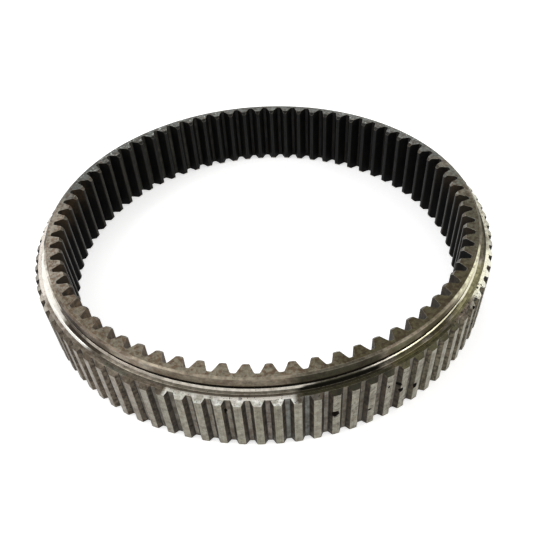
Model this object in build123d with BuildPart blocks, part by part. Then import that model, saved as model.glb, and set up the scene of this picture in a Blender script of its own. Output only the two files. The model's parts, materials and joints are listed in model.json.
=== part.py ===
from build123d import *
import os
from math import acos, cos, pi, radians, sin, tan

# An internal ring gear, turned and broached from one steel forging.
# It stands on its lower face, with the gear axis on Z and the lower face at Z = 0.

# Overall
overall_height = 36.8

# Internal teeth, of involute form, with chamfered tips at both ends
internal_tooth_count = 72
internal_module = 3.0
internal_pressure_angle = 25.5
internal_space_width = 4.33
internal_addendum = 3.5
internal_dedendum = 2.3
internal_end_chamfer = 1.5

# External teeth, a straight-sided driving form
external_tooth_count = 94
external_tooth_offset = 1.94
external_tooth_depth = 2.0
external_land_width = 3.1
external_root_width = 2.05
external_top_chamfer_width = 1.85
external_top_chamfer_drop = 1.6

# Rim between the two rows of teeth
rim_wall = 7.7

# Locating lip above the shoulder
lip_wall = 2.95
lip_height = 7.2
lip_chamfer_width = 1.0
lip_chamfer_drop = 0.5

# Turned relief, cone and groove at the foot of the lip
relief_depth = 0.6
relief_height = 1.7
relief_floor_width = 0.4
foot_cone_width = 0.8
foot_cone_height = 0.8
shoulder_groove_offset = 2.15
shoulder_groove_width = 1.1
shoulder_groove_depth = 0.5

# Length by which a cutting outline runs past the face that it cuts
run_out = 1.0

# Radii and heights that follow from the sizes above
pitch_radius = internal_module * internal_tooth_count / 2
base_radius = pitch_radius * cos(radians(internal_pressure_angle))
internal_tip_radius = pitch_radius - internal_addendum
internal_root_radius = pitch_radius + internal_dedendum
external_root_radius = internal_root_radius + rim_wall
external_tip_radius = external_root_radius + external_tooth_depth
lip_radius = internal_root_radius + lip_wall
relief_radius = lip_radius - relief_depth
relief_floor_radius = relief_radius + relief_floor_width
foot_radius = relief_floor_radius + foot_cone_width
groove_radius = lip_radius + shoulder_groove_offset
shoulder_height = overall_height - lip_height
foot_cone_top = shoulder_height + foot_cone_height
relief_top = foot_cone_top + relief_height


def involute(angle):
    """Involute function of a pressure angle in radians."""
    return tan(angle) - angle


def internal_flank_point(radius):
    """Point of an internal space's flank, with the middle of the space on the X axis."""
    pressure = acos(base_radius / radius)
    half_space = internal_space_width / 2 / pitch_radius + involute(radians(internal_pressure_angle))
    angle = half_space - involute(pressure)
    return radius * cos(angle), radius * sin(angle)


def top_chamfer_fall(distance):
    """Drop of the cone over the external teeth, at a distance beyond their tips."""
    slope = external_top_chamfer_drop / external_top_chamfer_width
    return (external_top_chamfer_width + distance) * slope


# Space between two internal teeth. An arc through three points of the involute
# is the flank, and differs from it by less than a hundredth of a millimetre.
flank_start = internal_flank_point(internal_tip_radius - run_out)
flank_middle = internal_flank_point(pitch_radius)
flank_end = internal_flank_point(internal_root_radius)

with BuildSketch() as internal_space:
    with BuildLine():
        flank = ThreePointArc(flank_start, flank_middle, flank_end)
        mirror(flank, about=Plane.XZ)
        ThreePointArc(flank @ 1, (internal_root_radius, 0), (flank_end[0], -flank_end[1]))
        Line(flank @ 0, (flank_start[0], -flank_start[1]))
    make_face()

# Space between two external teeth: straight flanks that lean out from a flat root
external_pitch_angle = 2 * pi / external_tooth_count
space_opening = external_tip_radius * external_pitch_angle - external_land_width
flank_lean = (space_opening - external_root_width) / 2 / external_tooth_depth
run_out_opening = space_opening + 2 * run_out * flank_lean
external_space_angle = external_tooth_offset + 180 / external_tooth_count

with BuildSketch() as external_space:
    with BuildLine():
        Polyline(
            (external_root_radius, -external_root_width / 2),
            (external_root_radius, external_root_width / 2),
            (external_tip_radius + run_out, run_out_opening / 2),
            (external_tip_radius + run_out, -run_out_opening / 2),
            close=True,
        )
    make_face()

# Section of the ring across its axis, with every tooth
with BuildSketch(Plane.XY.offset(-run_out)) as section:
    Circle(external_tip_radius)
    Circle(internal_tip_radius, mode=Mode.SUBTRACT)
    with PolarLocations(0, internal_tooth_count, start_angle=180 / internal_tooth_count):
        add(internal_space.sketch, mode=Mode.SUBTRACT)
    with PolarLocations(0, external_tooth_count, start_angle=external_space_angle):
        add(external_space.sketch, mode=Mode.SUBTRACT)

# Half section along the axis, which turns the lip, the shoulder and the end chamfers
with BuildSketch(Plane.XZ) as turned_profile:
    with BuildLine():
        Polyline(
            (internal_tip_radius + internal_end_chamfer, 0),
            (external_tip_radius + run_out, 0),
            (external_tip_radius + run_out, shoulder_height - top_chamfer_fall(run_out)),
            (external_tip_radius - external_top_chamfer_width, shoulder_height),
            (groove_radius + shoulder_groove_width, shoulder_height),
            (groove_radius + shoulder_groove_width, shoulder_height - shoulder_groove_depth),
            (groove_radius, shoulder_height - shoulder_groove_depth),
            (groove_radius, shoulder_height),
            (foot_radius, shoulder_height),
            (relief_floor_radius, foot_cone_top),
            (relief_radius, foot_cone_top),
            (relief_radius, relief_top),
            (lip_radius, relief_top),
            (lip_radius, overall_height - lip_chamfer_drop),
            (lip_radius - lip_chamfer_width, overall_height),
            (internal_tip_radius + internal_end_chamfer, overall_height),
            (internal_tip_radius - run_out, overall_height - internal_end_chamfer - run_out),
            (internal_tip_radius - run_out, internal_end_chamfer + run_out),
            close=True,
        )
    make_face()

# The ring: the toothed section at full height, cut to the turned profile
with BuildPart() as ring_gear:
    extrude(section.sketch, amount=overall_height + 2 * run_out)
    revolve(turned_profile.sketch, axis=Axis.Z, mode=Mode.INTERSECT)

ring_gear.part.label = "ring_gear"

os.makedirs("parts", exist_ok=True)
export_step(ring_gear.part, "parts/ring_gear.step")
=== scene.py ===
import json
import logging
import math
from collections.abc import Callable
from dataclasses import dataclass, field
from enum import Enum

import bmesh
import bpy
from mathutils import Matrix, Quaternion, Vector

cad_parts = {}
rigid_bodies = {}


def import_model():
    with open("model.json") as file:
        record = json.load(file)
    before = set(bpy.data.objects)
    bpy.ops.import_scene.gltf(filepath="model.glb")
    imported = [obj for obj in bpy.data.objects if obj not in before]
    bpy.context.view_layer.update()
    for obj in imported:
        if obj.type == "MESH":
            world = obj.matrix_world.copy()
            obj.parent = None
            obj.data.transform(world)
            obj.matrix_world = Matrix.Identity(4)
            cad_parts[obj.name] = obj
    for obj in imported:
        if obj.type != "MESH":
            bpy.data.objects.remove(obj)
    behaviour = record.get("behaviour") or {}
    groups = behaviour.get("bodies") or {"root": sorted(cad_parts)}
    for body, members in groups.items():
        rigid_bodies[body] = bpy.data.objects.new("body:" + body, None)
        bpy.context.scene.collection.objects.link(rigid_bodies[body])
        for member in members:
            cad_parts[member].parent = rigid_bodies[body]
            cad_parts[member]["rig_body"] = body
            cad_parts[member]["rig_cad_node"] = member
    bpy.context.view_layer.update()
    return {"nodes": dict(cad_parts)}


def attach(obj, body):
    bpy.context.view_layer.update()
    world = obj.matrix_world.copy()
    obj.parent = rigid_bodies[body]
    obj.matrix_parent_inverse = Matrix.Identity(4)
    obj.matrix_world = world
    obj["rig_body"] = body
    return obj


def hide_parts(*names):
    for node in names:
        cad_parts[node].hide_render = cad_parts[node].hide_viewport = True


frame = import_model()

MM = 0.001
Colour = tuple[float, float, float]
PLAIN: Colour = (1.0, 1.0, 1.0)

BEND_NAME = "edge_bend"

log = logging.getLogger("toothed_ring")


def tone(red: int, green: int, blue: int) -> Colour:
    """Turn a colour as a screen shows it into the linear colour of a shader.

    Args:
        red: Red, from 0 to 255.
        green: Green, from 0 to 255.
        blue: Blue, from 0 to 255.

    Returns:
        The three linear values, from 0 to 1.
    """

    def linear(value: int) -> float:
        """One channel, made linear."""
        share = value / 255
        return share / 12.92 if share <= 0.04045 else ((share + 0.055) / 1.055) ** 2.4

    return linear(red), linear(green), linear(blue)


# Painted reflections of the lamps in the turned steel, white and cream; the white one also colours
# the foot cone's rubbed edges.
WHITE_STEEL_AND_SHEEN = tone(252, 249, 241)
CREAM_SHEEN = tone(244, 240, 214)
SPECK_DIRT = tone(34, 28, 20)
# Painted shade, laid into inner corners.
CORNER_SHADE = tone(30, 27, 21)


class Cut(Enum):
    """Which way the tool marks of a surface run."""

    ROUND = "Round Lines"
    ALONG = "Axial Lines"


class Zone(Enum):
    """The surfaces of the ring, in the order of their material slots."""

    TOP = 0
    TIP_CHAMFER = 1
    TOOTH_FLANK = 2
    TOOTH_LAND = 3
    LIP_CHAMFER = 4
    LIP_WALL = 5
    RELIEF = 6
    FOOT_CONE = 7
    FLANGE = 8
    SHOULDER = 9
    DRIVING_LAND = 10
    DRIVING_FLANK = 11
    DRIVING_ROOT = 12
    UNDERSIDE = 13
    PIT = 14
    TOOTH_ROOT = 15
    GROOVE = 16
    TOOTH_CONE = 17


@dataclass(frozen=True)
class Patch:
    """A stretch that reaches part of the way round the ring, used for stains, rubbed places,
    painted reflections of the lamps and painted shade.

    Attributes:
        centre: Azimuth of its middle, in degrees.
        half_width: Half of its reach round the ring, in degrees.
        fade: Width of each soft end, in degrees.
        colour: Colour of the steel there.
        strength: How much of that colour covers, from 0 to 1.
        painted_sheen: Whether it is a painted reflection of the lamps, bright and more metallic,
            with the stains faded.
        whole: Height from which it is whole, in millimetres.
        gone: Height below which it has faded away; below zero where it reaches all the way down.
        dotted: Whether it shows only as scattered dots.
        oil_and_shade: Whether the metal there is dulled, for oil and for painted shade.
    """

    centre: float
    half_width: float
    fade: float
    colour: Colour
    strength: float = 1.0
    painted_sheen: bool = False
    whole: float = 0.0
    gone: float = -1.0
    dotted: bool = False
    oil_and_shade: bool = False


@dataclass(frozen=True)
class Belt:
    """A tint that fades away along the radius.

    Attributes:
        whole: Radius from which it is whole, in millimetres.
        gone: Radius at which it has faded away, in millimetres.
        colour: Colour of the steel there.
        strength: How much of that colour covers, from 0 to 1.
    """

    whole: float
    gone: float
    colour: Colour
    strength: float = 1.0


@dataclass(frozen=True)
class SteelFinish:
    """How one kind of surface on the used steel looks.

    Attributes:
        zone: The surface that wears this finish.
        base: Main colour.
        blotch: Second colour, in soft clouds.
        blotch_size: Size of the clouds, in millimetres.
        blotch_cover: Share of the surface under the clouds.
        tint: Third colour, in smaller clouds.
        tint_size: Size of the smaller clouds, in millimetres.
        tint_cover: Share of the surface under the smaller clouds.
        tint_strength: How much the smaller clouds cover, from 0 to 1.
        metallic: How metallic the surface is.
        roughness: Mean roughness.
        cut: Direction of the tool marks.
        cut_pitch: Distance between tool marks, in millimetres.
        cut_depth: How much the tool marks change colour and relief.
        specks: Share of the surface under small dark specks.
        edge: Colour of the rubbed edges.
        edge_strength: How strongly the rubbed edges show.
        specular: Specular level of the film on the steel.
        patches: Stains, rubbed places, painted reflections and painted shade, laid one over the
            other.
        belts: Tints that fade away along the radius.
        grain: How strongly the fine grain shows.
    """

    zone: Zone
    base: Colour
    blotch: Colour
    blotch_size: float = 6.0
    blotch_cover: float = 0.45
    tint: Colour = tone(96, 94, 78)
    tint_size: float = 1.6
    tint_cover: float = 0.4
    tint_strength: float = 0.3
    metallic: float = 0.6
    roughness: float = 0.5
    cut: Cut = Cut.ROUND
    cut_pitch: float = 0.35
    cut_depth: float = 0.25
    specks: float = 0.04
    edge: Colour = tone(176, 168, 152)
    edge_strength: float = 0.5
    specular: float = 0.5
    patches: tuple[Patch, ...] = ()
    belts: tuple[Belt, ...] = ()
    grain: float = 0.5


class Wiring:
    """Adds nodes to one node tree and joins them."""

    def __init__(self, tree: bpy.types.NodeTree) -> None:
        """Keep the tree to work in."""
        self.tree = tree

    def add(self, kind: str, **values: object) -> bpy.types.Node:
        """Add a node and set its properties and inputs.

        Args:
            kind: Type name of the node, without its prefix.
            **values: Properties of the node by name; inputs by name in `inputs`.

        Returns:
            The new node.
        """
        node = self.tree.nodes.new("ShaderNode" + kind)
        inputs = values.pop("inputs", {})
        for name, value in values.items():
            setattr(node, name, value)
        for name, value in inputs.items():
            self.put(node.inputs[name], value)
        return node

    def put(self, socket: bpy.types.NodeSocket, value: object) -> None:
        """Join a socket to another one, or set it to a value.

        Args:
            socket: The input to fill.
            value: An output socket, a number, a vector or a colour.
        """
        if isinstance(value, bpy.types.NodeSocket):
            self.tree.links.new(value, socket)
        elif socket.type == "RGBA":
            socket.default_value = (*value, 1.0)
        else:
            socket.default_value = value

    def math(self, operation: str, *values: object) -> bpy.types.NodeSocket:
        """Add a math node.

        Args:
            operation: Name of the operation.
            *values: Its inputs in order, numbers or sockets.

        Returns:
            The result's socket.
        """
        node = self.add("Math", operation=operation)
        for socket, value in zip(node.inputs, values):
            self.put(socket, value)
        return node.outputs[0]

    def fade(self, value: object, low: object, high: object) -> bpy.types.NodeSocket:
        """Turn a value into a smooth share from 0 at `low` to 1 at `high`.

        Args:
            value: The value to read.
            low: Where the share starts.
            high: Where it is whole.

        Returns:
            The share's socket.
        """
        node = self.add("MapRange", interpolation_type="SMOOTHSTEP")
        for name, given in (("Value", value), ("From Min", low), ("From Max", high)):
            self.put(node.inputs[name], given)
        return node.outputs["Result"]

    def mix(
        self, share: object, first: object, second: object, blend: str = "MIX"
    ) -> bpy.types.NodeSocket:
        """Mix two colours.

        Args:
            share: Share of the second colour.
            first: First colour.
            second: Second colour.
            blend: Name of the way in which they are mixed.

        Returns:
            The mixed colour's socket.
        """
        node = self.add("Mix", data_type="RGBA", blend_type=blend)
        self.put(node.inputs[0], share)
        self.put(node.inputs[6], first)
        self.put(node.inputs[7], second)
        return node.outputs[2]

    def multiply(self, first: object, second: object) -> bpy.types.NodeSocket:
        """Multiply two colours."""
        return self.mix(1.0, first, second, "MULTIPLY")

    def spot(self) -> bpy.types.NodeSocket:
        """Where on the ring a point lies, in metres."""
        return self.add("TexCoord").outputs["Object"]

    def noise(self, vector: object, scale: object, detail: float = 2.0) -> bpy.types.NodeSocket:
        """Add a noise texture.

        Args:
            vector: Where it is read.
            scale: Its scale.
            detail: Number of finer layers.

        Returns:
            The noise's value.
        """
        node = self.add("TexNoise", inputs={"Vector": vector, "Scale": scale, "Detail": detail})
        return node.outputs[0]


class GroupBench:
    """Makes the shader node groups that the finishes share."""

    def __init__(self) -> None:
        """Make every group once."""
        self.place = self._place()
        self.tool_marks = self._tool_marks()
        self.clouds = self._clouds()
        self.patch = self._patch()
        self.specks = self._specks()
        self.edges = self._edges()
        self.grain = self._grain()

    def _start(
        self, name: str, inputs: dict[str, tuple[str, object]], outputs: dict[str, str]
    ) -> tuple[bpy.types.NodeTree, Wiring, bpy.types.Node, bpy.types.Node]:
        """Start a group with its sockets.

        Args:
            name: Name of the group.
            inputs: Kind and default value of each input.
            outputs: Kind of each output.

        Returns:
            The group, its wiring, its input node and its output node.
        """
        tree = bpy.data.node_groups.new(name, "ShaderNodeTree")
        for label, (kind, value) in inputs.items():
            socket = tree.interface.new_socket(
                label, in_out="INPUT", socket_type="NodeSocket" + kind
            )
            if value is not None:
                socket.default_value = value
        for label, kind in outputs.items():
            tree.interface.new_socket(label, in_out="OUTPUT", socket_type="NodeSocket" + kind)
        enter = tree.nodes.new("NodeGroupInput")
        leave = tree.nodes.new("NodeGroupOutput")
        return tree, Wiring(tree), enter, leave

    def _place(self) -> bpy.types.NodeTree:
        """Make radius and height in millimetres, and the two directions of tool marks.

        Returns:
            The group.
        """
        lean, slow_turn, slow_height = 1.7, 2.0, 0.04
        outputs = {
            "Radius": "Float",
            "Height": "Float",
            "Across": "Vector",
            Cut.ROUND.value: "Vector",
            Cut.ALONG.value: "Vector",
        }
        tree, wire, _, leave = self._start("ring place", {}, outputs)
        scaled = wire.add("VectorMath", operation="SCALE", inputs={"Scale": 1 / MM})
        wire.put(scaled.inputs[0], wire.spot())
        axes = wire.add("SeparateXYZ", inputs={"Vector": scaled.outputs[0]})
        x, y, height = axes.outputs
        squares = wire.math("ADD", wire.math("MULTIPLY", x, x), wire.math("MULTIPLY", y, y))
        radius = wire.math("SQRT", squares)
        across_x = wire.math("DIVIDE", x, radius)
        across_y = wire.math("DIVIDE", y, radius)
        across = wire.add("CombineXYZ", inputs={"X": across_x, "Y": across_y})
        turned = wire.add("CombineXYZ", inputs={
            "X": wire.math("MULTIPLY", across_x, slow_turn),
            "Y": wire.math("MULTIPLY", across_y, slow_turn),
            "Z": wire.math("ADD", radius, wire.math("MULTIPLY", height, lean)),
        })
        slow = wire.math("MULTIPLY", height, slow_height)
        broached = wire.add("CombineXYZ", inputs={"X": x, "Y": y, "Z": slow})
        results = {
            "Radius": radius,
            "Height": height,
            "Across": across.outputs[0],
            Cut.ROUND.value: turned.outputs[0],
            Cut.ALONG.value: broached.outputs[0],
        }
        for name, result in results.items():
            wire.put(leave.inputs[name], result)
        return tree

    def _tool_marks(self) -> bpy.types.NodeTree:
        """Make the lines that a cutting tool leaves, coarse and fine ones together.

        Returns:
            The group.
        """
        coarser, fine_part, coarse_part = 0.22, 0.55, 0.45
        low, high = 0.3, 0.7
        inputs = {"Lines": ("Vector", None), "Pitch": ("Float", 0.3)}
        tree, wire, enter, leave = self._start("tool marks", inputs, {"Value": "Float"})
        lines = enter.outputs["Lines"]
        scale = wire.math("DIVIDE", 1.0, enter.outputs["Pitch"])
        fine = wire.math("MULTIPLY", wire.noise(lines, scale, 1.0), fine_part)
        coarse = wire.noise(lines, wire.math("MULTIPLY", scale, coarser), 2.0)
        both = wire.math("ADD", fine, wire.math("MULTIPLY", coarse, coarse_part))
        wire.put(leave.inputs["Value"], wire.fade(both, low, high))
        return tree

    def _clouds(self) -> bpy.types.NodeTree:
        """Make irregular clouds that cover a given share of the surface.

        Returns:
            The group.
        """
        clear_level, cover_reach = 0.72, 0.44
        inputs = {"Size": ("Float", 6.0), "Cover": ("Float", 0.4), "Softness": ("Float", 0.12)}
        tree, wire, enter, leave = self._start("clouds", inputs, {"Mask": "Float"})
        scale = wire.math("DIVIDE", 1 / MM, enter.outputs["Size"])
        value = wire.noise(wire.spot(), scale, 4.0)
        covered = wire.math("MULTIPLY", enter.outputs["Cover"], cover_reach)
        middle = wire.math("SUBTRACT", clear_level, covered)
        low = wire.math("SUBTRACT", middle, enter.outputs["Softness"])
        high = wire.math("ADD", middle, enter.outputs["Softness"])
        wire.put(leave.inputs["Mask"], wire.fade(value, low, high))
        return tree

    def _patch(self) -> bpy.types.NodeTree:
        """Make a stretch round the ring, from its middle azimuth, with ragged soft ends.

        Returns:
            The group.
        """
        ragged_scale = 260.0
        inputs = {
            "Across": ("Vector", None),
            "Centre": ("Float", 0.0),
            "Half Width": ("Float", 20.0),
            "Fade": ("Float", 5.0),
        }
        tree, wire, enter, leave = self._start("patch", inputs, {"Mask": "Float"})
        axes = wire.add("SeparateXYZ", inputs={"Vector": enter.outputs["Across"]})
        centre = wire.math("RADIANS", enter.outputs["Centre"])
        along = wire.math(
            "ADD",
            wire.math("MULTIPLY", axes.outputs["X"], wire.math("COSINE", centre)),
            wire.math("MULTIPLY", axes.outputs["Y"], wire.math("SINE", centre)),
        )
        turn = wire.math("DEGREES", wire.math("ARCCOSINE", wire.math("MINIMUM", along, 1.0)))
        ragged = wire.math("SUBTRACT", wire.noise(wire.spot(), ragged_scale, 3.0), 0.5)
        away = wire.math("ADD", turn, wire.math("MULTIPLY", ragged, enter.outputs["Fade"]))
        inner = wire.math("SUBTRACT", enter.outputs["Half Width"], enter.outputs["Fade"])
        outside = wire.fade(away, inner, enter.outputs["Half Width"])
        wire.put(leave.inputs["Mask"], wire.math("SUBTRACT", 1.0, outside))
        return tree

    def _specks(self) -> bpy.types.NodeTree:
        """Make small scattered specks.

        Returns:
            The group.
        """
        clear_level, cover_reach, softness = 0.72, 1.2, 0.06
        inputs = {"Size": ("Float", 0.7), "Cover": ("Float", 0.05)}
        tree, wire, enter, leave = self._start("specks", inputs, {"Mask": "Float"})
        scale = wire.math("DIVIDE", 1 / MM, enter.outputs["Size"])
        value = wire.noise(wire.spot(), scale, 2.0)
        covered = wire.math("MULTIPLY", enter.outputs["Cover"], cover_reach)
        low = wire.math("SUBTRACT", clear_level, covered)
        wire.put(leave.inputs["Mask"], wire.fade(value, low, wire.math("ADD", low, softness)))
        return tree

    def _edges(self) -> bpy.types.NodeTree:
        """Make rubbed outer edges and painted shade in inner corners, from the ring's own
        attribute.

        Returns:
            The group.
        """
        gap_scale, gap_level, whole_level = 900.0, 0.32, 0.55
        outputs = {"Rubbed": "Float", "Corner Shade": "Float"}
        tree, wire, _, leave = self._start("edges", {}, outputs)
        bend = wire.add("Attribute", attribute_name=BEND_NAME).outputs["Fac"]
        broken = wire.fade(wire.noise(wire.spot(), gap_scale, 3.0), gap_level, whole_level)
        rubbed = wire.math("MULTIPLY", wire.math("MAXIMUM", bend, 0.0), broken)
        wire.put(leave.inputs["Rubbed"], rubbed)
        corner_shade = wire.math("MAXIMUM", wire.math("MULTIPLY", bend, -1.0), 0.0)
        wire.put(leave.inputs["Corner Shade"], corner_shade)
        return tree

    def _grain(self) -> bpy.types.NodeTree:
        """Make fine uneven grain, darker and lighter than the mean by turns.

        Returns:
            The group.
        """
        fine_scale, coarse_scale, coarse_part = 1300.0, 480.0, 1.4
        tree, wire, _, leave = self._start("grain", {}, {"Value": "Float"})
        spot = wire.spot()
        fine = wire.math("SUBTRACT", wire.noise(spot, fine_scale, 1.0), 0.5)
        coarse = wire.math("SUBTRACT", wire.noise(spot, coarse_scale, 2.0), 0.5)
        coarse = wire.math("MULTIPLY", coarse, coarse_part)
        wire.put(leave.inputs["Value"], wire.math("ADD", fine, coarse))
        return tree


@dataclass
class FinishShop:
    """Turns finishes into materials.

    Attributes:
        groups: The shader node groups that the finishes share.
        cloud_softness: Softness of the larger clouds' rims.
        dot_size: Size of the dots in a dotted patch, in millimetres.
        dot_cover: Share of a dotted patch under its dots.
        dot_softness: Softness of the dots' rims.
        sheen_cleanness: How free of stains a painted reflection is.
        speck_cover: How much a speck hides the steel.
        corner_shade_cover: How much the painted shade on an inner bend darkens the steel.
        mark_roughness: Roughness that the tool marks add.
        cloud_roughness: Roughness that the clouds add.
        dulled_roughness: Roughness that the dull places add, for oil and for painted shade.
        relief_strength: Strength of the fine relief.
        relief_depth: Depth of the fine relief, in millimetres.
    """

    groups: GroupBench = field(default_factory=GroupBench)
    cloud_softness: float = 0.1
    dot_size: float = 1.3
    dot_cover: float = 0.3
    dot_softness: float = 0.03
    sheen_cleanness: float = 0.85
    speck_cover: float = 0.75
    corner_shade_cover: float = 0.7
    mark_roughness: float = 0.1
    cloud_roughness: float = 0.08
    dulled_roughness: float = 0.2
    relief_strength: float = 0.25
    relief_depth: float = 0.04

    def _group(
        self, wire: Wiring, tree: bpy.types.NodeTree, **inputs: object
    ) -> bpy.types.bpy_prop_collection:
        """Place a group in a material.

        Args:
            wire: Wiring of the material.
            tree: The group.
            **inputs: Its inputs, with an underscore for each space.

        Returns:
            The group's outputs.
        """
        node = wire.add("Group", node_tree=tree)
        for name, value in inputs.items():
            wire.put(node.inputs[name.replace("_", " ")], value)
        return node.outputs

    def _ratio(self, colour: Colour, mean: Colour) -> Colour:
        """How many times the mean colour a colour is, channel by channel."""
        return tuple(part / max(middle, 1e-4) for part, middle in zip(colour, mean))

    def _laid(self, wire: Wiring, below: object, share: object, has_it: bool) -> object:
        """Lay one more patch over the places that have a quality.

        Args:
            wire: Wiring of the material.
            below: Share of the quality so far.
            share: Share of the surface under the patch.
            has_it: Whether the patch has the quality; otherwise it hides it.

        Returns:
            The new share, which stays a plain number until a patch has the quality.
        """
        if isinstance(below, float) and not has_it:
            return below
        kept = wire.math("MULTIPLY", below, wire.math("SUBTRACT", 1.0, share))
        return wire.math("ADD", kept, share) if has_it else kept

    def _patched(
        self, wire: Wiring, finish: SteelFinish, place: bpy.types.bpy_prop_collection, mean: Colour
    ) -> tuple[object, object, object]:
        """Lay the belts and the patches of a finish over its mean colour.

        Args:
            wire: Wiring of the material.
            finish: The finish.
            place: Outputs of the place group.
            mean: The mean colour.

        Returns:
            The colour, the share of painted reflection and the share of dull places, for oil and
            for painted shade.
        """
        dots = self._group(
            wire, self.groups.clouds, Size=self.dot_size, Cover=self.dot_cover,
            Softness=self.dot_softness,
        )[0]
        colour, painted_sheen, dulled = mean, 0.0, 0.0
        for belt in finish.belts:
            share = wire.fade(place["Radius"], belt.gone, belt.whole)
            colour = wire.mix(wire.math("MULTIPLY", share, belt.strength), colour, belt.colour)
        for patch in finish.patches:
            share = self._group(
                wire, self.groups.patch, Across=place["Across"], Centre=patch.centre,
                Half_Width=patch.half_width, Fade=patch.fade,
            )[0]
            if patch.gone >= 0:
                upper = wire.fade(place["Height"], patch.gone, patch.whole)
                share = wire.math("MULTIPLY", share, upper)
            if patch.dotted:
                share = wire.math("MULTIPLY", share, dots)
            share = wire.math("MULTIPLY", share, patch.strength)
            # The patches lay stains, painted reflections and painted shade into the colour.
            colour = wire.mix(share, colour, patch.colour)
            painted_sheen = self._laid(wire, painted_sheen, share, patch.painted_sheen)
            dulled = self._laid(wire, dulled, share, patch.oil_and_shade)
        return colour, painted_sheen, dulled

    def _metal(self, wire: Wiring, metallic: float, painted_sheen: object, dulled: object) -> object:
        """Work out how metallic a surface is, with its painted reflections and its dull places of
        oil and painted shade.

        Args:
            wire: Wiring of the material.
            metallic: How metallic the rest of it is.
            painted_sheen: Share of painted reflection.
            dulled: Share of dull places, for oil and for painted shade.

        Returns:
            A plain number where it is the same all over, otherwise a socket.
        """
        if isinstance(painted_sheen, float) and isinstance(dulled, float):
            return metallic
        metal = wire.math("ADD", metallic, wire.math("MULTIPLY", painted_sheen, 1.0 - metallic))
        return wire.math("MULTIPLY", metal, wire.math("SUBTRACT", 1.0, dulled))

    def make(self, finish: SteelFinish) -> bpy.types.Material:
        """Build the material of one finish.

        Args:
            finish: The finish.

        Returns:
            Its material.
        """
        material = bpy.data.materials.new(finish.zone.name.lower() + "_steel")
        material.use_nodes = True
        wire = Wiring(material.node_tree)
        shader = material.node_tree.nodes["Principled BSDF"]
        groups = self.groups
        place = self._group(wire, groups.place)
        lines = place[finish.cut.value]
        marks = self._group(wire, groups.tool_marks, Lines=lines, Pitch=finish.cut_pitch)[0]
        clouds = self._group(
            wire, groups.clouds, Size=finish.blotch_size, Cover=finish.blotch_cover,
            Softness=self.cloud_softness,
        )[0]
        small = self._group(wire, groups.clouds, Size=finish.tint_size, Cover=finish.tint_cover)[0]
        specks = self._group(wire, groups.specks, Cover=finish.specks)[0]
        edges = self._group(wire, groups.edges)
        grain = wire.math("MULTIPLY", self._group(wire, groups.grain)[0], finish.grain)
        scores = wire.math("MULTIPLY", marks, finish.cut_depth)

        mean = tuple(a + (b - a) * finish.blotch_cover for a, b in zip(finish.base, finish.blotch))
        colour, painted_sheen, dulled = self._patched(wire, finish, place, mean)
        dirty = wire.math("SUBTRACT", 1.0, wire.math("MULTIPLY", painted_sheen, self.sheen_cleanness))
        stain = wire.mix(clouds, self._ratio(finish.base, mean), self._ratio(finish.blotch, mean))
        colour = wire.multiply(colour, wire.mix(dirty, PLAIN, stain))
        share = wire.math("MULTIPLY", wire.math("MULTIPLY", small, finish.tint_strength), dirty)
        colour = wire.multiply(colour, wire.mix(share, PLAIN, self._ratio(finish.tint, mean)))
        shade = wire.math("MULTIPLY", wire.math("SUBTRACT", grain, scores), dirty)
        shade = wire.math("ADD", 1.0, shade)
        grey = wire.add("CombineColor", inputs={"Red": shade, "Green": shade, "Blue": shade})
        colour = wire.multiply(colour, grey.outputs[0])
        colour = wire.mix(wire.math("MULTIPLY", specks, self.speck_cover), colour, SPECK_DIRT)
        rubbed = wire.math("MULTIPLY", edges["Rubbed"], finish.edge_strength)
        colour = wire.mix(rubbed, colour, finish.edge)
        # Painted shade: inner corners are darkened.
        corner_shade = wire.math("MULTIPLY", edges["Corner Shade"], self.corner_shade_cover)
        wire.put(shader.inputs["Base Color"], wire.mix(corner_shade, colour, CORNER_SHADE))

        rough = finish.roughness - self.cloud_roughness
        for part, added in (
            (marks, self.mark_roughness),
            (clouds, self.cloud_roughness),
            (dulled, self.dulled_roughness),
        ):
            rough = wire.math("ADD", rough, wire.math("MULTIPLY", part, added))
        wire.put(shader.inputs["Roughness"], rough)
        wire.put(shader.inputs["Metallic"], self._metal(wire, finish.metallic, painted_sheen, dulled))
        shader.inputs["Specular IOR Level"].default_value = finish.specular

        relief = wire.math("ADD", wire.math("SUBTRACT", scores, specks), grain)
        depth = self.relief_depth * MM
        bump = wire.add(
            "Bump", inputs={"Height": relief, "Strength": self.relief_strength, "Distance": depth}
        )
        wire.put(shader.inputs["Normal"], bump.outputs[0])
        return material


@dataclass(frozen=True)
class Pit:
    """A dent in the steel.

    Attributes:
        azimuth: Azimuth of its middle, in degrees.
        radius: Distance of its middle from the axis, in millimetres.
        height: Height of its middle, in millimetres.
        width: Width round the ring, in millimetres.
        length: Length along the axis, in millimetres.
        depth: How far it goes in, in millimetres.
        corners: Number of corners of its outline.
        turn: How far its outline is turned, in degrees.
    """

    azimuth: float
    radius: float
    height: float
    width: float
    length: float
    depth: float
    corners: int = 7
    turn: float = 0.0


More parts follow.
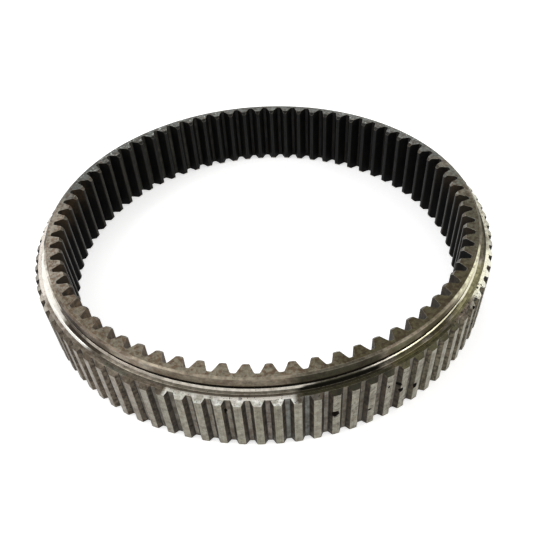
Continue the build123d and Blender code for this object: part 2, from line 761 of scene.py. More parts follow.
PITS = (
    Pit(-82.6, 120.0, 15.7, 4.2, 4.4, 1.4, corners=5, turn=180.0),
    Pit(-68.3, 118.9, 17.8, 2.0, 2.4, 1.2),
    Pit(-67.7, 120.0, 13.8, 2.9, 2.9, 1.1, turn=20.0),
    Pit(-71.0, 120.0, 20.9, 1.2, 1.5, 0.6),
    Pit(-63.7, 120.0, 10.6, 2.3, 3.8, 1.0, turn=10.0),
    Pit(-75.1, 120.0, 10.3, 2.0, 1.2, 0.4),
    Pit(-103.9, 118.2, 22.6, 1.2, 2.6, 0.6),
    Pit(-49.6, 119.4, 28.6, 2.0, 1.8, 1.1, corners=5),
    Pit(-46.6, 119.6, 28.2, 1.6, 1.6, 1.0, corners=5, turn=30.0),
    Pit(-44.0, 119.4, 28.4, 1.8, 1.4, 0.9),
    Pit(-41.9, 119.8, 26.6, 1.4, 2.2, 0.9, corners=6),
    Pit(-38.2, 119.6, 28.0, 1.9, 1.4, 0.8, turn=15.0),
)


@dataclass
class ToothedRing:
    """The one-piece steel ring, with its edges rubbed, its roots rounded and its dents.

    Attributes:
        name: Name of the piece.
        lip_radius: Radius of the locating lip, in millimetres.
        groove_end: Radius at which the groove ends.
        shoulder_height: Height of the shoulder.
        relief_top: Height of the relief's upper edge.
        root_radius: Radius of the flats between the outer teeth.
        tip_radius: Radius of the outer teeth's lands.
        inner_tip_radius: Radius of the inner teeth's tips.
        inner_root_radius: Radius of the inner teeth's roots.
        inner_root_fillet: Reach of the rounding in an inner tooth root.
        outer_root_fillet: Reach of the rounding in an outer tooth root.
        inner_tooth_edge: Reach of the rounding along an inner tooth's tip.
        outer_tooth_edge: Reach of the rounding along an outer tooth's land.
        edge_break: Width of the rubbed edge.
        rounds: Number of steps in a rounding.
        shade_angle: Largest angle that is shaded smooth, in degrees.
        merge_distance: Distance under which the solid's points are one.
        flat_angle: Bend under which faces are one, in degrees.
        strip: Width in which the strip at an outer root is looked for.
        strip_merge: Distance over which that strip is merged.
        root_bend: Least bend of a corner in a root, in degrees.
        tip_bend: Least bend of an edge of a tip or a land, in degrees.
        rubbed_bend: Least bend of an edge that is rubbed, in degrees.
        lip_width: Width of the lip's top outside the inner teeth.
        narrow: Width under which a face counts as an edge.
    """

    name: str = "toothed_ring"
    lip_radius: float = 113.25
    groove_end: float = 116.5
    shoulder_height: float = 29.6
    relief_top: float = 32.1
    root_radius: float = 118.0
    tip_radius: float = 120.0
    inner_tip_radius: float = 104.5
    inner_root_radius: float = 110.3
    inner_root_fillet: float = 0.5
    outer_root_fillet: float = 0.28
    inner_tooth_edge: float = 0.5
    outer_tooth_edge: float = 0.28
    edge_break: float = 0.15
    rounds: int = 3
    shade_angle: float = 40.0
    merge_distance: float = 0.002
    flat_angle: float = 0.5
    strip: float = 0.3
    strip_merge: float = 0.22
    root_bend: float = -20.0
    tip_bend: float = 30.0
    rubbed_bend: float = 24.0
    lip_width: float = 2.6
    narrow: float = 0.3

    def build(
        self, node: bpy.types.Object, materials: dict[Zone, bpy.types.Material]
    ) -> bpy.types.Object:
        """Model the ring over its solid and dress its surfaces.

        Args:
            node: The solid from the frame.
            materials: The material of each surface.

        Returns:
            The finished piece.
        """
        ring = self._merged_copy(node)
        self._bring_cone_to_roots(ring)
        self._round(ring, self.inner_root_fillet, self._is_inner_root)
        self._round(ring, self.outer_root_fillet, self._is_outer_root)
        self._round(ring, self.inner_tooth_edge, self._is_inner_tip)
        self._round(ring, self.outer_tooth_edge, self._is_outer_land)
        self._round(ring, self.edge_break, self._is_outer_edge)
        self._dress(ring, materials)
        self._dent(ring, materials[Zone.PIT])
        self._mark_edges(ring)
        self._smooth(ring)
        return ring

    def _merged_copy(self, node: bpy.types.Object) -> bpy.types.Object:
        """Copy the solid's loose triangles and join them into whole flat faces.

        Args:
            node: The solid from the frame.

        Returns:
            The copy.
        """
        bpy.ops.object.select_all(action="DESELECT")
        ring = node.copy()
        ring.data = node.data.copy()
        ring.name = ring.data.name = self.name
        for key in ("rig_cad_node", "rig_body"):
            if key in ring:
                del ring[key]
        ring.parent = None
        bpy.context.scene.collection.objects.link(ring)
        ring.select_set(True)
        bpy.context.view_layer.objects.active = ring
        ring.data.materials.clear()
        bpy.ops.object.mode_set(mode="EDIT")
        bpy.ops.mesh.select_all(action="SELECT")
        bpy.ops.mesh.remove_doubles(threshold=self.merge_distance * MM)
        bpy.ops.mesh.customdata_custom_splitnormals_clear()
        bpy.ops.mesh.dissolve_limited(angle_limit=math.radians(self.flat_angle))
        bpy.ops.object.mode_set(mode="OBJECT")
        return ring

    def _bring_cone_to_roots(self, ring: bpy.types.Object) -> None:
        """Merge the hair-wide strip between each outer root and the cone over the teeth."""
        bpy.ops.object.mode_set(mode="EDIT")
        bpy.ops.mesh.select_all(action="DESELECT")
        mesh = bmesh.from_edit_mesh(ring.data)
        for vertex in mesh.verts:
            radius = math.hypot(vertex.co.x, vertex.co.y) / MM
            level = abs(vertex.co.z / MM - self.shoulder_height) < 0.01
            vertex.select_set(level and abs(radius - self.root_radius) < self.strip)
        mesh.select_flush_mode()
        bmesh.update_edit_mesh(ring.data)
        bpy.ops.mesh.remove_doubles(threshold=self.strip_merge * MM)
        bpy.ops.object.mode_set(mode="OBJECT")

    def _is_upright(self, edge: bmesh.types.BMEdge, outside: bool, bend: float) -> bool:
        """Whether an edge runs along the axis, in the asked row of teeth, with the asked bend.

        Args:
            edge: The edge.
            outside: Whether the outer teeth are asked for.
            bend: Least bend in degrees; below zero for a corner that bends inward.

        Returns:
            Whether it does.
        """
        way = edge.verts[1].co - edge.verts[0].co
        radius = math.hypot(edge.verts[0].co.x, edge.verts[0].co.y) / MM
        turn = math.degrees(edge.calc_face_angle_signed(0.0))
        bent = turn > bend if bend > 0 else turn < bend
        return bent and abs(way.z) > 0.95 * way.length and (radius > self.lip_radius) == outside

    def _is_inner_root(self, edge: bmesh.types.BMEdge) -> bool:
        """Whether an edge is a corner in the root of an inner tooth."""
        return self._is_upright(edge, False, self.root_bend)

    def _is_outer_root(self, edge: bmesh.types.BMEdge) -> bool:
        """Whether an edge is a corner in the root of an outer tooth."""
        return self._is_upright(edge, True, self.root_bend)

    def _is_inner_tip(self, edge: bmesh.types.BMEdge) -> bool:
        """Whether an edge runs along the tip of an inner tooth."""
        return self._is_upright(edge, False, self.tip_bend)

    def _is_outer_land(self, edge: bmesh.types.BMEdge) -> bool:
        """Whether an edge runs along the land of an outer tooth."""
        return self._is_upright(edge, True, self.tip_bend)

    def _is_outer_edge(self, edge: bmesh.types.BMEdge) -> bool:
        """Whether an edge stands out and is sharp enough to be rubbed."""
        return edge.calc_face_angle_signed(0.0) > math.radians(self.rubbed_bend)

    def _round(
        self, ring: bpy.types.Object, width: float, wanted: Callable[[bmesh.types.BMEdge], bool]
    ) -> None:
        """Bevel the wanted edges.

        Args:
            ring: The ring.
            width: Reach of the bevel on each side, in millimetres.
            wanted: Test that an edge passes to be bevelled.
        """
        bpy.ops.object.mode_set(mode="EDIT")
        bpy.ops.mesh.select_all(action="DESELECT")
        bpy.ops.mesh.select_mode(type="EDGE")
        mesh = bmesh.from_edit_mesh(ring.data)
        chosen = [edge for edge in mesh.edges if wanted(edge)]
        for edge in chosen:
            edge.select_set(True)
        bmesh.update_edit_mesh(ring.data)
        log.info("rounding %d edges by %.2f mm", len(chosen), width)
        bpy.ops.mesh.bevel(
            offset=width * MM, offset_type="OFFSET", segments=self.rounds, profile=0.5,
            affect="EDGES", clamp_overlap=False, loop_slide=True,
        )
        bpy.ops.object.mode_set(mode="OBJECT")

    def _dent(self, ring: bpy.types.Object, inside: bpy.types.Material) -> None:
        """Press the pits into the ring.

        Args:
            ring: The ring.
            inside: Material of the pits.
        """
        stamps = [self._stamp(pit) for pit in PITS]
        bpy.ops.object.select_all(action="DESELECT")
        for stamp in stamps:
            stamp.select_set(True)
        bpy.context.view_layer.objects.active = stamps[0]
        bpy.ops.object.join()
        stamp = bpy.context.view_layer.objects.active
        stamp.data.materials.append(inside)
        bpy.ops.object.select_all(action="DESELECT")
        ring.select_set(True)
        bpy.context.view_layer.objects.active = ring
        cutter = ring.modifiers.new("pits", "BOOLEAN")
        cutter.operation = "DIFFERENCE"
        cutter.solver = "EXACT"
        cutter.material_mode = "TRANSFER"
        cutter.object = stamp
        bpy.ops.object.modifier_apply(modifier=cutter.name)
        log.info("after the dents: %d faces", len(ring.data.polygons))
        bpy.data.objects.remove(stamp)

    def _stamp(self, pit: Pit) -> bpy.types.Object:
        """Model the body that presses one pit.

        Args:
            pit: The pit.

        Returns:
            A rough cone whose point goes into the steel.
        """
        azimuth = math.radians(pit.azimuth)
        outward = Vector((math.cos(azimuth), math.sin(azimuth), 0.0))
        bpy.ops.object.select_all(action="DESELECT")
        bpy.ops.mesh.primitive_cone_add(
            vertices=pit.corners, radius1=0.4 * MM, radius2=1.6 * MM, depth=2.0 * MM,
            end_fill_type="NGON",
        )
        stamp = bpy.context.active_object
        bpy.ops.object.mode_set(mode="EDIT")
        bpy.ops.mesh.select_all(action="SELECT")
        seed = int(abs(pit.azimuth) * 10)
        bpy.ops.transform.vertex_random(offset=0.14 * MM, uniform=1.0, seed=seed)
        bpy.ops.object.mode_set(mode="OBJECT")
        across = Vector((-outward.y, outward.x, 0.0))
        axes = Matrix((across, Vector((0, 0, 1)), outward)).transposed().to_4x4()
        size = Matrix.Diagonal((pit.width / 2, pit.length / 2, pit.depth, 1.0))
        turn = Matrix.Rotation(math.radians(pit.turn), 4, "Z")
        where = outward * pit.radius * MM + Vector((0, 0, pit.height * MM))
        stamp.data.transform(Matrix.Translation(where) @ axes @ size @ turn)
        return stamp

    def _mark_edges(self, ring: bpy.types.Object) -> None:
        """Write how each narrow face bends: 1 on a rubbed edge, -1 on an inner bend, which gets
        painted shade.
        """
        attribute = ring.data.attributes.new(BEND_NAME, "FLOAT", "FACE")
        mesh = bmesh.new()
        mesh.from_mesh(ring.data)
        values = []
        for face in mesh.faces:
            longest = max(face.edges, key=lambda edge: edge.calc_length())
            width = face.calc_area() / max(longest.calc_length(), 1e-9) / MM
            bend = longest.calc_face_angle_signed(0.0)
            bent = width < self.narrow and abs(bend) > 0.1
            values.append(math.copysign(1.0, bend) if bent else 0.0)
        mesh.free()
        attribute.data.foreach_set("value", values)

    def _zone_of(self, corners: list[Vector], normal: Vector) -> Zone:
        """Name the surface that a face belongs to.

        Args:
            corners: Corners of the face.
            normal: Its normal.

        Returns:
            The surface.
        """
        radii = [math.hypot(corner_shade.x, corner_shade.y) for corner_shade in corners]
        radius = sum(radii) / len(radii) / MM
        height = sum(corner_shade.z for corner_shade in corners) / len(corners) / MM
        first = corners[0]
        outward = (normal.x * first.x + normal.y * first.y) / radii[0]
        if radius < self.lip_radius - self.lip_width:
            if abs(normal.z) > 0.9:
                return Zone.TOP if normal.z > 0 else Zone.UNDERSIDE
            if abs(normal.z) > 0.3:
                return Zone.TIP_CHAMFER if normal.z > 0 else Zone.UNDERSIDE
            if outward < -0.6 and radius < self.inner_tip_radius + 0.5:
                return Zone.TOOTH_LAND
            rooted = outward < -0.6 and radius > self.inner_root_radius - 0.6
            return Zone.TOOTH_ROOT if rooted else Zone.TOOTH_FLANK
        if height > self.relief_top - 0.05 and radius > self.lip_radius - self.lip_width:
            if normal.z < -0.5:
                return Zone.RELIEF
            if normal.z > 0.97:
                return Zone.TOP
            return Zone.LIP_CHAMFER if normal.z > 0.25 else Zone.LIP_WALL
        if normal.z < -0.9 and height < 1.0:
            return Zone.UNDERSIDE
        if height > self.shoulder_height - 0.6 and radius < self.groove_end + 0.1:
            if radius < self.lip_radius - 0.2 or normal.z < -0.3:
                return Zone.RELIEF
            if height > self.shoulder_height + 0.05:
                return Zone.FOOT_CONE
            return Zone.FLANGE if height > self.shoulder_height - 0.1 else Zone.GROOVE
        if normal.z > 0.5:
            return Zone.SHOULDER if normal.z > 0.95 else Zone.TOOTH_CONE
        if radius > self.tip_radius - 0.25 and outward > 0.8:
            return Zone.DRIVING_LAND
        rooted = outward > 0.93 and radius < self.root_radius + 0.3
        return Zone.DRIVING_ROOT if rooted else Zone.DRIVING_FLANK

    def _dress(self, ring: bpy.types.Object, materials: dict[Zone, bpy.types.Material]) -> None:
        """Give every face the material of its surface.

        Args:
            ring: The ring.
            materials: The material of each surface.
        """
        for zone in Zone:
            ring.data.materials.append(materials[zone])
        for face in ring.data.polygons:
            corners = [ring.data.vertices[index].co for index in face.vertices]
            face.material_index = self._zone_of(corners, face.normal).value

    def _smooth(self, ring: bpy.types.Object) -> None:
        """Shade the turned and rounded faces smooth and keep the flats flat."""
        bpy.ops.object.shade_smooth_by_angle(angle=math.radians(self.shade_angle))
        flats = ring.modifiers.new("flats", "WEIGHTED_NORMAL")
        flats.keep_sharp = True
        flats.weight = 100
        bpy.ops.object.modifier_apply(modifier=flats.name)


# Painted light in the finishes: the sheen stretches and the other white, cream and light stretches
# are painted reflections of the lamps in the turned steel. They lie from about -195 to -135 on the
# left, -118 to -88 in front and -70 to 10 on the right, on the lip, the foot cone, the flange, the
# groove, the shoulder and the cone over the teeth.
# The dark stretches from about -158 to -130 beside them are painted shade of the same kind. The
# dark stretch from about -90 to -25 is partly stain and partly painted shade.
FINISHES = (
    SteelFinish(
        Zone.TOP, base=tone(124, 115, 99), blotch=tone(97, 81, 64), metallic=0.4, roughness=0.55,
        specular=0.2, blotch_size=1.7, tint=tone(103, 102, 87), tint_strength=0.4, cut_pitch=0.4,
        cut_depth=0.18, edge_strength=0.25, grain=0.6,
        belts=(Belt(106.0, 109.0, tone(100, 84, 68), 0.35),),
        patches=(
            Patch(-180.0, 34.0, 14.0, tone(140, 128, 114), 1.0),
            Patch(-57.0, 34.0, 14.0, tone(62, 54, 33), 0.95),
            Patch(-18.0, 16.0, 8.0, tone(68, 63, 46), 0.9),
            Patch(3.0, 11.0, 8.0, tone(84, 82, 72), 0.9),
            Patch(90.0, 86.0, 16.0, tone(82, 82, 78), 0.95),
            Patch(128.0, 36.0, 14.0, tone(190, 188, 180), 0.6, dotted=True),
            Patch(40.0, 26.0, 12.0, tone(160, 158, 150), 0.5, dotted=True),
        ),
    ),
    SteelFinish(
        Zone.TIP_CHAMFER, base=tone(100, 94, 84), blotch=tone(72, 60, 48), metallic=0.5,
        roughness=0.45, specular=0.3, blotch_size=2.4, edge=tone(150, 144, 130),
        edge_strength=0.3, grain=0.6,
        patches=(
            Patch(-172.0, 24.0, 10.0, tone(78, 70, 60), 0.95),
            Patch(88.0, 72.0, 18.0, tone(18, 18, 17), 0.97),
            # Painted highlight: the tip chamfers from about -48 to 12 are lighter where they catch
            # the light.
            Patch(-18.0, 30.0, 10.0, tone(128, 124, 117), 0.9),
            Patch(10.0, 12.0, 8.0, tone(84, 81, 76), 0.9),
        ),
    ),
    SteelFinish(
        Zone.TOOTH_FLANK, base=tone(11, 11, 11), blotch=tone(17, 16, 15), metallic=0.0,
        roughness=0.6, cut=Cut.ALONG, specular=0.08, edge=tone(60, 57, 50), edge_strength=0.25,
        tint_strength=0.0,
        patches=(
            Patch(-178.0, 30.0, 12.0, tone(66, 55, 42), 0.8, whole=36.0, gone=20.0),
            Patch(-132.0, 26.0, 10.0, tone(108, 94, 78), 0.9),
            Patch(-56.0, 22.0, 10.0, tone(76, 69, 60), 0.9),
            Patch(-8.0, 22.0, 12.0, tone(58, 50, 40), 0.7, whole=36.0, gone=20.0),
        ),
    ),
    SteelFinish(
        Zone.TOOTH_LAND, base=tone(22, 22, 22), blotch=tone(18, 18, 18), metallic=0.5,
        roughness=0.45, cut=Cut.ALONG, edge=tone(56, 54, 50), edge_strength=0.3, specular=0.2,
        tint_strength=0.0,
        patches=(
            Patch(-187.0, 52.0, 24.0, tone(40, 38, 32), 0.85),
            Patch(-12.0, 28.0, 16.0, tone(38, 36, 31), 0.8),
        ),
    ),
    SteelFinish(
        Zone.TOOTH_ROOT, base=tone(30, 29, 29), blotch=tone(22, 21, 21), metallic=0.4,
        roughness=0.5, cut=Cut.ALONG, edge_strength=0.0, specular=0.15, tint_strength=0.0,
        patches=(
            Patch(140.0, 42.0, 20.0, tone(60, 59, 54), 0.85),
            Patch(20.0, 26.0, 16.0, tone(38, 38, 38), 0.7),
        ),
    ),
    SteelFinish(
        Zone.LIP_CHAMFER, base=tone(148, 138, 121), blotch=tone(120, 108, 92), metallic=0.6,
        roughness=0.45, specular=0.3, blotch_size=4.0, edge_strength=0.2,
        patches=(
            Patch(93.0, 104.0, 16.0, tone(88, 87, 84), 0.9, oil_and_shade=True),
            Patch(-190.0, 15.0, 6.0, tone(118, 111, 102), 0.7),
            Patch(-165.0, 8.0, 4.0, tone(222, 214, 202), 0.95),
            Patch(-139.0, 18.0, 7.0, tone(96, 83, 71), 0.85),
            Patch(-80.0, 11.5, 4.0, tone(88, 82, 69), 0.9),
            Patch(-55.5, 5.5, 3.0, tone(112, 104, 82), 0.8),
            Patch(-38.0, 12.0, 5.0, tone(232, 227, 194), 0.95),
            Patch(-16.0, 13.0, 6.0, tone(98, 93, 76), 0.9),
        ),
    ),
    SteelFinish(
        Zone.LIP_WALL, base=tone(148, 137, 121), blotch=tone(122, 108, 92), metallic=0.6,
        roughness=0.45, specular=0.25, blotch_size=5.0, cut_pitch=0.5, edge_strength=0.15,
        grain=0.6,
        patches=(
            Patch(-183.0, 14.0, 6.0, tone(152, 140, 128), 0.8),
            Patch(-163.0, 8.0, 3.0, WHITE_STEEL_AND_SHEEN, 0.95, painted_sheen=True),
            Patch(-125.0, 8.5, 6.0, tone(196, 184, 170), 0.7),
            Patch(-137.0, 8.0, 6.0, tone(100, 88, 77), 0.9),
            Patch(-147.5, 10.0, 4.0, tone(44, 32, 20), 0.97, oil_and_shade=True),
            Patch(-80.5, 11.0, 3.0, tone(48, 44, 28), 0.95, oil_and_shade=True),
            Patch(-65.5, 5.5, 3.0, tone(122, 117, 94), 0.9),
            Patch(-55.5, 6.0, 3.0, tone(86, 78, 53), 0.9),
            Patch(-8.0, 19.0, 8.0, tone(74, 70, 55), 0.9),
            Patch(-38.0, 11.5, 5.0, CREAM_SHEEN, 0.95, painted_sheen=True),
        ),
    ),
    SteelFinish(
        Zone.RELIEF, base=tone(24, 19, 12), blotch=tone(36, 30, 21), metallic=0.2, roughness=0.6,
        specular=0.1, edge_strength=0.1, tint_strength=0.0,
    ),
    SteelFinish(
        Zone.FOOT_CONE, base=tone(214, 207, 195), blotch=tone(186, 178, 165), metallic=0.8,
        roughness=0.35, specular=0.25, blotch_cover=0.3, tint_strength=0.1, cut_depth=0.1,
        specks=0.01, edge=WHITE_STEEL_AND_SHEEN, edge_strength=0.1,
        patches=(
            Patch(-183.0, 13.0, 5.0, tone(142, 130, 116), 0.9),
            Patch(-128.0, 16.0, 8.0, tone(140, 132, 121), 0.9),
            Patch(-146.0, 8.5, 4.0, tone(62, 53, 43), 0.9),
            Patch(-80.0, 9.0, 6.0, tone(56, 54, 38), 0.95),
            Patch(-56.0, 13.5, 4.0, tone(214, 208, 178), 0.9),
            Patch(-36.0, 10.0, 5.0, CREAM_SHEEN, 0.9, painted_sheen=True),
            Patch(-66.5, 23.0, 2.5, tone(16, 15, 6), 0.97, whole=29.85, gone=30.15),
            Patch(-7.0, 19.0, 6.0, tone(62, 56, 43), 0.9),
        ),
    ),
    SteelFinish(
        Zone.FLANGE, base=tone(184, 176, 161), blotch=tone(154, 145, 130), metallic=0.7,
        roughness=0.38, specular=0.25, blotch_size=3.0, cut_pitch=0.3, edge_strength=0.2,
        cut_depth=0.18,
        patches=(
            Patch(-182.0, 13.0, 5.0, tone(156, 144, 131), 0.8),
            Patch(-159.8, 12.7, 3.0, WHITE_STEEL_AND_SHEEN, 1.0, painted_sheen=True),
            Patch(-140.0, 8.5, 3.0, tone(56, 45, 34), 0.95, oil_and_shade=True),
            Patch(-125.0, 9.0, 4.0, tone(204, 194, 180), 0.5),
            Patch(-80.5, 10.5, 2.5, tone(22, 20, 8), 0.97),
            Patch(-64.3, 6.3, 4.0, tone(132, 127, 92), 0.9),
            Patch(-54.5, 5.5, 4.0, tone(84, 77, 42), 0.9),
            Patch(-39.5, 11.5, 4.0, tone(152, 147, 108), 0.9),
            Patch(-20.0, 11.0, 4.0, tone(86, 80, 58), 0.9),
            Patch(1.0, 13.0, 5.0, tone(62, 57, 45), 0.9),
        ),
    ),
    SteelFinish(
        Zone.GROOVE, base=tone(128, 120, 108), blotch=tone(106, 98, 87), metallic=0.6,
        roughness=0.45, specular=0.25, blotch_size=4.0, cut_pitch=0.3, edge_strength=0.1,
        patches=(
            Patch(-159.0, 23.0, 4.0, tone(255, 254, 248), 1.0, painted_sheen=True),
            Patch(-80.5, 10.5, 2.5, tone(42, 39, 18), 0.97, oil_and_shade=True),
            Patch(-62.0, 9.0, 3.0, tone(108, 103, 66), 0.9),
            Patch(-39.5, 13.5, 4.0, tone(136, 131, 97), 0.9),
            Patch(-12.0, 18.0, 5.0, tone(70, 65, 46), 0.9),
        ),
    ),
    SteelFinish(
        Zone.SHOULDER, base=tone(122, 111, 98), blotch=tone(98, 86, 73), metallic=0.7,
        roughness=0.38, specular=0.25, blotch_size=3.0, cut_pitch=0.3, specks=0.08,
        edge_strength=0.3, grain=0.7,
        patches=(
            Patch(-150.0, 13.0, 9.0, tone(166, 154, 142), 0.7),
            Patch(-174.0, 19.0, 5.0, tone(232, 223, 214), 0.97, painted_sheen=True),
            Patch(-128.0, 5.0, 3.0, tone(96, 98, 88), 0.6),
            Patch(-103.2, 13.6, 1.2, tone(250, 246, 238), 1.0, painted_sheen=True),
            Patch(-110.5, 6.5, 3.0, tone(206, 202, 192), 0.7),
            Patch(-100.9, 0.5, 0.4, tone(128, 124, 122), 0.7),
            Patch(-79.6, 10.4, 1.5, tone(44, 41, 18), 0.95, oil_and_shade=True),
            Patch(-60.0, 11.0, 4.0, tone(60, 56, 26), 0.93, oil_and_shade=True),
            Patch(-8.0, 17.0, 6.0, tone(196, 191, 173), 0.9),
            Patch(-32.0, 12.0, 6.0, tone(232, 229, 206), 0.97, painted_sheen=True),
            Patch(-44.0, 9.0, 2.0, tone(16, 14, 4), 1.0, dotted=True, oil_and_shade=True),
        ),
    ),
    SteelFinish(
        Zone.TOOTH_CONE, base=tone(94, 84, 73), blotch=tone(78, 68, 56), metallic=0.65,
        roughness=0.4, specular=0.25, blotch_size=3.0, cut_pitch=0.3, specks=0.08,
        edge_strength=0.0, grain=0.7,
        patches=(
            Patch(-160.0, 11.0, 7.0, tone(184, 174, 162), 0.8),
            Patch(-185.5, 7.0, 4.0, tone(222, 216, 208), 0.9),
            Patch(-168.0, 8.0, 4.0, tone(120, 114, 106), 0.8),
            Patch(-103.2, 13.6, 1.2, tone(212, 208, 199), 0.97),
            Patch(-110.5, 6.5, 3.0, tone(186, 182, 172), 0.8),
            Patch(-87.6, 2.4, 0.8, tone(96, 91, 83), 0.9),
            Patch(-77.5, 8.4, 2.0, tone(30, 28, 8), 0.97, oil_and_shade=True),
            Patch(-60.0, 11.0, 4.0, tone(66, 62, 34), 0.93, oil_and_shade=True),
            Patch(-8.0, 16.0, 6.0, tone(184, 180, 162), 0.9),
            Patch(-32.0, 13.0, 6.0, tone(238, 236, 220), 0.95, painted_sheen=True),
            Patch(-43.0, 10.0, 2.0, tone(14, 12, 4), 1.0, dotted=True, oil_and_shade=True),
        ),
    ),
    SteelFinish(
        Zone.DRIVING_LAND, base=tone(146, 142, 125), blotch=tone(128, 121, 105), metallic=0.55,
        roughness=0.45, cut=Cut.ALONG, cut_pitch=0.5, blotch_size=3.0, tint=tone(150, 148, 140),
        tint_strength=0.4, edge_strength=0.12, grain=0.55,
        patches=(
            Patch(-135.0, 22.0, 12.0, tone(134, 124, 113), 0.7),
            Patch(-158.0, 17.0, 6.0, tone(104, 98, 90), 0.85, oil_and_shade=True),
            Patch(-96.0, 3.0, 1.0, tone(124, 120, 100), 0.6),
            Patch(-36.0, 11.0, 5.0, tone(100, 94, 78), 0.8, oil_and_shade=True),
            Patch(-36.0, 10.0, 2.0, tone(12, 10, 6), 1.0, dotted=True, oil_and_shade=True),
            Patch(-74.0, 12.0, 4.0, tone(60, 50, 38), 0.6, dotted=True),
        ),
    ),
    # Painted shade: the flanks between the outer teeth are darker than the lands and roots, for
    # the shade in the narrow gaps, and near black round -184 and 4, where the gaps are seen
    # edge-on.
    SteelFinish(
        Zone.DRIVING_FLANK, base=tone(66, 57, 44), blotch=tone(42, 34, 25), metallic=0.4,
        roughness=0.5, blotch_size=2.2, blotch_cover=0.45, cut=Cut.ALONG, specular=0.2,
        edge_strength=0.0, tint_strength=0.1, grain=0.8,
        patches=(
            Patch(-184.0, 24.0, 8.0, tone(18, 16, 12), 0.97, oil_and_shade=True),
            Patch(-138.0, 20.0, 10.0, tone(98, 87, 74), 0.9),
            Patch(-50.0, 18.0, 8.0, tone(98, 90, 73), 0.9),
            Patch(4.0, 36.0, 12.0, tone(20, 18, 13), 0.95, oil_and_shade=True),
            Patch(-37.0, 10.0, 2.0, tone(10, 8, 5), 1.0, dotted=True),
        ),
    ),
    # Painted shade: the roots are near black round -180 and 0, where the gaps between the outer
    # teeth are seen edge-on.
    SteelFinish(
        Zone.DRIVING_ROOT, base=tone(122, 115, 103), blotch=tone(98, 88, 75), metallic=0.55,
        roughness=0.45, cut=Cut.ALONG, specular=0.3, blotch_size=3.0, tint_strength=0.2,
        grain=0.7,
        patches=(
            Patch(-180.0, 28.0, 8.0, tone(18, 16, 12), 0.97, oil_and_shade=True),
            Patch(-116.5, 5.0, 2.0, tone(84, 79, 68), 0.8),
            Patch(-88.5, 4.6, 1.4, tone(96, 99, 96), 0.75),
            Patch(-95.3, 1.6, 0.6, tone(112, 102, 95), 0.7),
            Patch(-77.0, 5.0, 2.0, tone(88, 80, 66), 0.8),
            Patch(-54.0, 9.0, 4.0, tone(140, 133, 114), 0.7),
            Patch(0.0, 40.0, 12.0, tone(20, 18, 13), 0.95, oil_and_shade=True),
        ),
    ),
    SteelFinish(
        Zone.UNDERSIDE, base=tone(104, 97, 86), blotch=tone(84, 74, 62), metallic=0.5,
        roughness=0.5,
    ),
    SteelFinish(
        Zone.PIT, base=tone(10, 8, 6), blotch=tone(22, 16, 11), metallic=0.0, roughness=0.8,
        specular=0.1, edge_strength=0.0, tint_strength=0.0,
    ),
)


@dataclass(frozen=True)
class PhotoCamera:
    """The camera, by where it stands and how it is turned from looking at the top face's middle.

    Attributes:
        azimuth: Azimuth at which it stands, in degrees.
        elevation: Its elevation above the top face, in degrees.
        distance: Its distance from the middle of the top face, in metres.
        aim_height: Height of the top face, in metres.
        pan: Turn about its own upright axis, in degrees.
        tilt: Turn about its own level axis, in degrees.
        roll: Turn about its line of sight, in degrees.
        lens: Focal length on a 36 mm sensor, in millimetres.
        shift_x: Sideways shift, as a share of the picture's width.
        shift_y: Upright shift, as a share of the picture's width.
    """

    azimuth: float = -93.983
    elevation: float = 36.459
    distance: float = 0.306352
    aim_height: float = 0.0368
    pan: float = -1.2623
    tilt: float = -5.9210
    roll: float = 4.1433
    lens: float = 38.381
    shift_x: float = -0.0226
    shift_y: float = -0.0069

    def build(self) -> bpy.types.Object:
        """Make the camera and look through it.

        Returns:
            The camera.
        """
        azimuth, elevation = math.radians(self.azimuth), math.radians(self.elevation)
        outward = Vector((math.cos(azimuth), math.sin(azimuth), 0.0))
        sight = -(outward * math.cos(elevation) + Vector((0, 0, math.sin(elevation))))
        right = Vector((-outward.y, outward.x, 0.0))
        up = right.cross(sight)
        where = -sight * self.distance + Vector((0, 0, self.aim_height))
        pan = Quaternion(up, math.radians(self.pan))
        sight, right = pan @ sight, pan @ right
        tilt = Quaternion(right, math.radians(self.tilt))
        sight, up = tilt @ sight, tilt @ up
        roll = Quaternion(sight, math.radians(self.roll))
        right, up = roll @ right, roll @ up
        lens = bpy.data.cameras.new("photo_camera")
        lens.lens = self.lens
        lens.shift_x, lens.shift_y = self.shift_x, self.shift_y
        lens.clip_start = 0.01
        camera = bpy.data.objects.new("photo_camera", lens)
        axes = Matrix((right, up, -sight)).transposed().to_4x4()
        camera.matrix_world = Matrix.Translation(where) @ axes
        bpy.context.scene.collection.objects.link(camera)
        bpy.context.scene.camera = camera
        return camera


@dataclass(frozen=True)
class SoftBox:
    """A soft studio lamp.

    Attributes:
        name: Its name.
        place: Where it stands, in metres.
        size: Its side, in metres.
        power: Its power, in watts.
        colour: Colour of its light.
    """

    name: str
    place: tuple[float, float, float]
    size: float
    power: float
    colour: Colour = (1.0, 1.0, 1.0)

    def build(self) -> None:
        """Make the lamp, turned to the ring."""
        lamp = bpy.data.lights.new(self.name, "AREA")
        lamp.shape = "SQUARE"
        lamp.size = self.size
        lamp.energy = self.power
        lamp.color = self.colour
        stand = bpy.data.objects.new(self.name, lamp)
        stand.location = self.place
        stand.rotation_euler = (-Vector(self.place)).to_track_quat("-Z", "Y").to_euler()
        bpy.context.scene.collection.objects.link(stand)


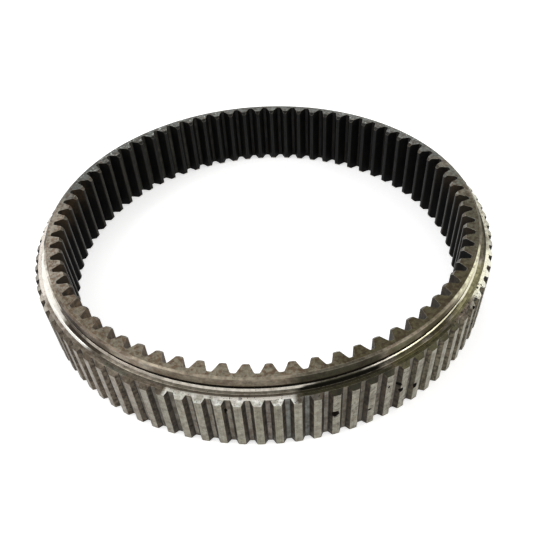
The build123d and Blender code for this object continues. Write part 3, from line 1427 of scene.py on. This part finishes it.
@dataclass
class Studio:
    """The plain white studio: floor, background and soft lamps.

    Attributes:
        floor_size: Side of the floor, in metres.
        ambient: Strength of the light from all round.
        floor_colour: Colour of the floor.
        floor_glow: Light that the floor shows of its own.
        eye_glow: Further light that only the camera sees on it.
        lamps: The soft lamps.
    """

    floor_size: float = 8.0
    ambient: float = 0.62
    floor_colour: Colour = (0.86, 0.86, 0.86)
    floor_glow: float = 0.5
    eye_glow: float = 0.02
    lamps: tuple[SoftBox, ...] = (
        SoftBox("window_left", (-0.9, -0.1, 0.8), 0.7, 5.0),
        SoftBox("window_back", (0.2, 1.2, 0.9), 0.8, 5.0),
        SoftBox("window_right", (1.0, -0.5, 0.7), 0.5, 3.5, (1.0, 0.98, 0.93)),
    )

    def build(self) -> None:
        """Make the floor, the background and the lamps."""
        self._floor()
        self._background()
        for lamp in self.lamps:
            lamp.build()

    def _seen(self, wire: Wiring) -> bpy.types.NodeSocket:
        """Whether a ray comes from the camera, or from a mirror-like or clear surface.

        Args:
            wire: Wiring of the material or the world.

        Returns:
            The share's socket.
        """
        path = wire.add("LightPath").outputs
        glossy = wire.math("MAXIMUM", path["Is Glossy Ray"], path["Is Transmission Ray"])
        return wire.math("MAXIMUM", path["Is Camera Ray"], glossy)

    def _floor(self) -> None:
        """Make the pale floor, which keeps the ring's shadow."""
        bpy.ops.object.select_all(action="DESELECT")
        bpy.ops.mesh.primitive_plane_add(size=self.floor_size)
        floor = bpy.context.active_object
        floor.name = "floor"
        material = bpy.data.materials.new("pale_floor")
        material.use_nodes = True
        tree = material.node_tree
        tree.nodes.clear()
        wire = Wiring(tree)
        matt = wire.add("BsdfDiffuse", inputs={"Color": self.floor_colour})
        glow = wire.add("Emission", inputs={"Color": PLAIN})
        eye = wire.math("MULTIPLY", wire.add("LightPath").outputs["Is Camera Ray"], self.eye_glow)
        seen = wire.math("MULTIPLY", self._seen(wire), self.floor_glow)
        wire.put(glow.inputs["Strength"], wire.math("ADD", seen, eye))
        both = wire.add("AddShader")
        wire.put(both.inputs[0], matt.outputs[0])
        wire.put(both.inputs[1], glow.outputs[0])
        out = wire.add("OutputMaterial")
        wire.put(out.inputs["Surface"], both.outputs[0])
        floor.data.materials.append(material)

    def _background(self) -> None:
        """Make the background white to the eye and softer as a light."""
        world = bpy.data.worlds.new("white_room")
        world.use_nodes = True
        bpy.context.scene.world = world
        wire = Wiring(world.node_tree)
        sky = world.node_tree.nodes["Background"]
        sky.inputs["Color"].default_value = (1.0, 1.0, 1.0, 1.0)
        seen = self._seen(wire)
        strength = wire.math("ADD", wire.math("MULTIPLY", seen, 1.0 - self.ambient), self.ambient)
        wire.put(sky.inputs["Strength"], strength)
        bpy.context.scene.view_settings.view_transform = "Standard"


def main() -> None:
    """Build the ring, dress it and set up the studio."""
    logging.basicConfig(level=logging.INFO, format="%(message)s")
    shop = FinishShop()
    materials = {finish.zone: shop.make(finish) for finish in FINISHES}
    ring = ToothedRing().build(frame["nodes"]["ring_gear"], materials)
    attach(ring, "root")
    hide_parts("ring_gear")
    log.info("%s: %d faces", ring.name, len(ring.data.polygons))
    PhotoCamera().build()
    Studio().build()


if __name__ == "__main__":
    main()
